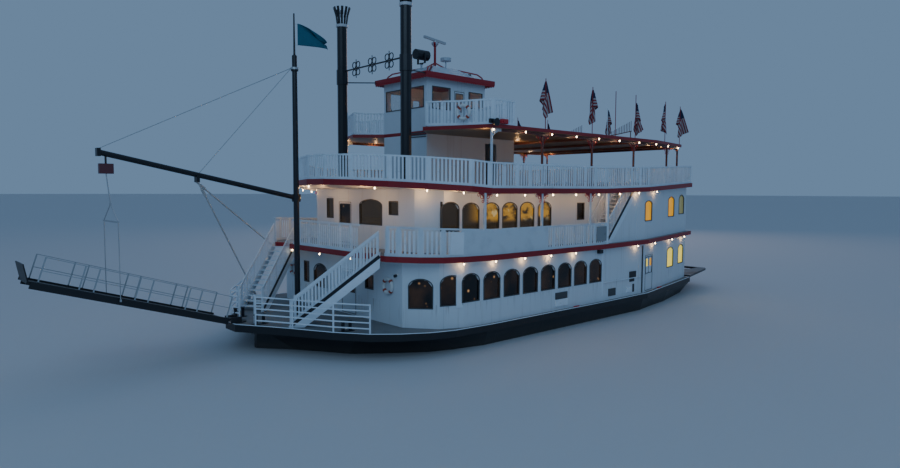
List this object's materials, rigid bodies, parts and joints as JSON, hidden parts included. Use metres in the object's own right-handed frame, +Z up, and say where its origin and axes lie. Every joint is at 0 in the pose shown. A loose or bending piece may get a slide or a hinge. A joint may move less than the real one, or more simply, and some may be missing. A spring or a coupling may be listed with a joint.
{
  "type": "stern-wheel paddle steamer",
  "caption": "Flat-bottomed river excursion boat with three decks, pilothouse, twin stacks, boom-carried bow gangway and a stern paddle wheel.",
  "frame": {"origin": "on the flat bottom of the hull, on the centreline, below the third window of the main-deck cabin counted from the bow", "axes": "+X forward to the bow, +Y to port, +Z up; the waterline is 1.05 m above the origin"},
  "size_m": [39.2958, 12.78, 16.3336],
  "materials": {
    "white_paint": "satin",
    "black_paint": "satin",
    "deck_paint": "matte",
    "roof_paint": "matte",
    "red_paint": "satin",
    "instrument_paint": "satin",
    "wheel_paint": "satin",
    "engine_paint": "satin",
    "wire": "satin",
    "rope": "matte",
    "flag_cloth": "matte",
    "window_glass": "gloss",
    "lamp_glass": "gloss",
    "buoy_plastic": "matte"
  },
  "bodies": {
    "boat": {"hull": "black_paint", "main_deck": "deck_paint", "second_deck": "deck_paint", "third_deck": "deck_paint", "main_cabin_front_wall": "white_paint", "main_cabin_aft_wall": "white_paint", "main_cabin_side_wall_port": "white_paint", "main_cabin_side_wall_starboard": "white_paint", "second_cabin_front_wall": "white_paint", "second_cabin_aft_wall": "white_paint", "second_cabin_side_wall_port": "white_paint", "second_cabin_side_wall_starboard": "white_paint", "forward_stair_port": "white_paint", "forward_stair_starboard": "white_paint", "aft_stair_port": "white_paint", "aft_stair_starboard": "white_paint", "second_deck_front_rail": "white_paint", "second_deck_rail_port": "white_paint", "second_deck_rail_starboard": "white_paint", "third_deck_rail": "white_paint", "bow_rail_port": "white_paint", "bow_rail_starboard": "white_paint", "lower_house": "white_paint", "pilothouse_front_wall": "white_paint", "pilothouse_aft_wall": "white_paint", "pilothouse_side_wall_port": "white_paint", "pilothouse_side_wall_starboard": "white_paint", "roof_deck": "roof_paint", "pilothouse_roof": "red_paint", "roof_frame": "white_paint", "wing_rail_port": "white_paint", "wing_rail_starboard": "white_paint", "stack_port": "black_paint", "stack_starboard": "black_paint", "stack_braces": "black_paint", "mast": "black_paint", "mast_flag": "flag_cloth", "wheel_beam_port": "black_paint", "wheel_beam_starboard": "black_paint", "stern_guard": "black_paint", "engine": "engine_paint"},
    "side_door_port": {"side_door_port": "white_paint"},
    "side_door_starboard": {"side_door_starboard": "white_paint"},
    "main_front_door": {"main_front_door": "white_paint"},
    "second_front_door": {"second_front_door": "white_paint"},
    "pilothouse_door_port": {"pilothouse_door_port": "white_paint"},
    "pilothouse_door_starboard": {"pilothouse_door_starboard": "white_paint"},
    "radar": {"radar_scanner": "instrument_paint"},
    "searchlight": {"searchlight": "black_paint"},
    "boom": {"boom": "black_paint", "topping_lift": "wire", "hoist_line": "rope"},
    "gangway_base": {"gangway_turntable": "black_paint"},
    "gangway": {"gangway": "black_paint"},
    "apron": {"gangway_apron": "black_paint"},
    "spreader": {"spreader": "wire"},
    "paddle_wheel": {"paddle_wheel": "wheel_paint"},
    "rudder_port": {"rudder_port": "black_paint"},
    "rudder_starboard": {"rudder_starboard": "black_paint"}
  },
  "joints": [
    {"name": "paddle_wheel_turn", "type": "hinge", "parent": "boat", "child": "paddle_wheel", "pos_m": [-22.5, 0, 2.4], "axis": [0, 1, 0], "continuous": true},
    {"name": "rudder_port_steer", "type": "hinge", "parent": "boat", "child": "rudder_port", "pos_m": [-19.2, 2.2, 0.5], "axis": [0, 0, 1], "range_deg": [-38, 38]},
    {"name": "rudder_starboard_steer", "type": "hinge", "parent": "boat", "child": "rudder_starboard", "pos_m": [-19.2, -2.2, 0.5], "axis": [0, 0, 1], "range_deg": [-38, 38]},
    {"name": "gangway_swing", "type": "hinge", "parent": "boat", "child": "gangway_base", "pos_m": [7.05, 0, 2.22], "axis": [0, 0, 1], "range_deg": [-30, 30]},
    {"name": "gangway_pitch", "type": "hinge", "parent": "gangway_base", "child": "gangway", "pos_m": [7.4, 0, 2.39], "axis": [0, -1, 0], "range_deg": [-20, 12], "deforming": ["hoist_line"]},
    {"name": "spreader_hang", "type": "hinge", "parent": "gangway", "child": "spreader", "pos_m": [11.6287, 0, 3.7104], "axis": [0, -1, 0], "range_deg": [-15, 22]},
    {"name": "apron_fold", "type": "hinge", "parent": "gangway", "child": "apron", "pos_m": [14.2643, 0, 4.5465], "axis": [0, 1, 0], "range_deg": [-20, 72]},
    {"name": "boom_swing", "type": "hinge", "parent": "boat", "child": "boom", "pos_m": [4.4, 0, 7.08], "axis": [0, 0, 1], "range_deg": [-20, 20]},
    {"name": "side_door_port_hinge", "type": "hinge", "parent": "boat", "child": "side_door_port", "pos_m": [-13.0934, 6.1207, 3], "axis": [0, 0, -1], "range_deg": [0, 100]},
    {"name": "side_door_starboard_hinge", "type": "hinge", "parent": "boat", "child": "side_door_starboard", "pos_m": [-13.0934, -6.1207, 3], "axis": [0, 0, 1], "range_deg": [0, 100]},
    {"name": "main_front_door_hinge", "type": "hinge", "parent": "boat", "child": "main_front_door", "pos_m": [2.4, 0.3305, 3], "axis": [0, 0, -1], "range_deg": [0, 100]},
    {"name": "second_front_door_hinge", "type": "hinge", "parent": "boat", "child": "second_front_door", "pos_m": [1.1, -1.9095, 6], "axis": [0, 0, -1], "range_deg": [0, 100]},
    {"name": "pilothouse_door_port_hinge", "type": "hinge", "parent": "boat", "child": "pilothouse_door_port", "pos_m": [-3.1205, 1.65, 11], "axis": [0, 0, -1], "range_deg": [0, 90]},
    {"name": "pilothouse_door_starboard_hinge", "type": "hinge", "parent": "boat", "child": "pilothouse_door_starboard", "pos_m": [-3.1205, -1.65, 11], "axis": [0, 0, 1], "range_deg": [0, 90]},
    {"name": "radar_turn", "type": "hinge", "parent": "boat", "child": "radar", "pos_m": [-3.375, 0, 14.9], "axis": [0, 0, 1], "continuous": true},
    {"name": "searchlight_pan", "type": "hinge", "parent": "boat", "child": "searchlight", "pos_m": [-2.5, 0, 14], "axis": [0, 0, 1], "range_deg": [-160, 160]}
  ],
  "couplings": [
    {"joint": "rudder_starboard_steer", "follows": "rudder_port_steer", "ratio": 1},
    {"joint": "boom_swing", "follows": "gangway_swing", "ratio": 0.62},
    {"joint": "spreader_hang", "follows": "gangway_pitch", "ratio": -1}
  ]
}
